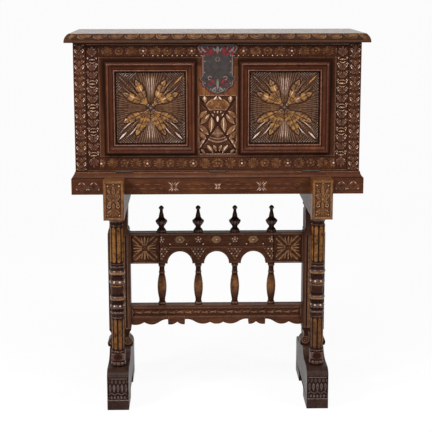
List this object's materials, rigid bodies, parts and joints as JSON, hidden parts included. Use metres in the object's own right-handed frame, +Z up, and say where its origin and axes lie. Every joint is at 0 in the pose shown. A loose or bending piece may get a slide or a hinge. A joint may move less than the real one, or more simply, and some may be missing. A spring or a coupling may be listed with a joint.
{
  "type": "drop-front writing cabinet on a trestle stand",
  "caption": "Carved walnut drop-front writing cabinet on a turned trestle stand, with a lock, pull-out slides that carry the open fall, drawers and a small cupboard inside.",
  "frame": {"origin": "on the floor, midway between the front of the slide heads and the back of the feet, on the middle line", "axes": "+X to the right seen from the front, +Y to the back, +Z up"},
  "size_m": [1.06, 0.5108, 1.3607],
  "materials": {
    "walnut": "dark waxed walnut with rubbed gilding on the carving",
    "gallery_wood": "plain waxed wood",
    "iron": "dull wrought iron",
    "velvet": "worn red velvet",
    "brass": "aged turned brass"
  },
  "bodies": {
    "case_and_stand": {"top_board": "walnut", "case_side_left": "walnut", "case_side_right": "walnut", "pilaster_left": "walnut", "pilaster_right": "walnut", "case_back": "walnut", "case_bottom": "walnut", "case_floor": "walnut", "base_moulding_front": "walnut", "base_moulding_left": "walnut", "base_moulding_right": "walnut", "gallery_shelf": "gallery_wood", "pigeonhole_dividers": "gallery_wood", "drawer_shelves": "gallery_wood", "gallery_dividers": "gallery_wood", "gallery_linings": "gallery_wood", "hinge_case_leaves": "iron", "hinge_pins": "iron", "foot_left": "walnut", "foot_right": "walnut", "column_front_left": "walnut", "column_front_right": "walnut", "column_back_left": "walnut", "column_back_right": "walnut", "post_left": "walnut", "post_right": "walnut", "top_rail_left": "walnut", "top_rail_right": "walnut", "upper_stretcher": "walnut", "lower_stretcher": "walnut", "balusters": "walnut", "finials": "walnut"},
    "fall_front": {"fall_top_rail": "walnut", "fall_bottom_rail": "walnut", "fall_stile_left": "walnut", "fall_stile_right": "walnut", "fall_centre_stile": "walnut", "panel_moulding_left": "walnut", "panel_moulding_right": "walnut", "carved_panel_left": "walnut", "carved_panel_right": "walnut", "lock_plate": "iron", "lock_velvet": "velvet", "lock_case": "iron", "hinge_fall_leaves": "iron"},
    "bolt": {"lock_bolt": "iron"},
    "slide_left": {"loper_bar_left": "walnut", "loper_head_left": "walnut"},
    "slide_right": {"loper_bar_right": "walnut", "loper_head_right": "walnut"},
    "drawer_lower_left_body": {"drawer_lower_left": "gallery_wood", "drawer_knob_lower_left": "brass"},
    "drawer_lower_right_body": {"drawer_lower_right": "gallery_wood", "drawer_knob_lower_right": "brass"},
    "drawer_upper_left_body": {"drawer_upper_left": "gallery_wood", "drawer_knob_upper_left": "brass"},
    "drawer_upper_right_body": {"drawer_upper_right": "gallery_wood", "drawer_knob_upper_right": "brass"},
    "door": {"cupboard_door": "gallery_wood", "cupboard_knob": "brass"}
  },
  "joints": [
    {"name": "fall_hinge", "type": "hinge", "parent": "case_and_stand", "child": "fall_front", "pos_m": [0, -0.1666, 0.8773], "axis": [1, 0, 0], "range_deg": [0, 90]},
    {"name": "bolt_slide", "type": "slide", "parent": "fall_front", "child": "bolt", "axis": [0, 0, 1], "range_m": [0, 0.008]},
    {"name": "loper_left_slide", "type": "slide", "parent": "case_and_stand", "child": "slide_left", "axis": [0, -1, 0], "range_m": [0, 0.28]},
    {"name": "loper_right_slide", "type": "slide", "parent": "case_and_stand", "child": "slide_right", "axis": [0, -1, 0], "range_m": [0, 0.28]},
    {"name": "drawer_lower_left_slide", "type": "slide", "parent": "case_and_stand", "child": "drawer_lower_left_body", "axis": [0, -1, 0], "range_m": [0, 0.2]},
    {"name": "drawer_lower_right_slide", "type": "slide", "parent": "case_and_stand", "child": "drawer_lower_right_body", "axis": [0, -1, 0], "range_m": [0, 0.2]},
    {"name": "drawer_upper_left_slide", "type": "slide", "parent": "case_and_stand", "child": "drawer_upper_left_body", "axis": [0, -1, 0], "range_m": [0, 0.2]},
    {"name": "drawer_upper_right_slide", "type": "slide", "parent": "case_and_stand", "child": "drawer_upper_right_body", "axis": [0, -1, 0], "range_m": [0, 0.2]},
    {"name": "door_hinge", "type": "hinge", "parent": "case_and_stand", "child": "door", "pos_m": [-0.12125, -0.1141, 1.042], "axis": [0, 0, -1], "range_deg": [0, 75]}
  ],
  "couplings": [
    {"joint": "drawer_lower_left_slide", "follows": "fall_hinge", "m_per_rad": 0.127},
    {"joint": "drawer_lower_right_slide", "follows": "fall_hinge", "m_per_rad": 0.127},
    {"joint": "drawer_upper_left_slide", "follows": "fall_hinge", "m_per_rad": 0.127},
    {"joint": "drawer_upper_right_slide", "follows": "fall_hinge", "m_per_rad": 0.127},
    {"joint": "door_hinge", "follows": "fall_hinge", "ratio": 0.8}
  ]
}
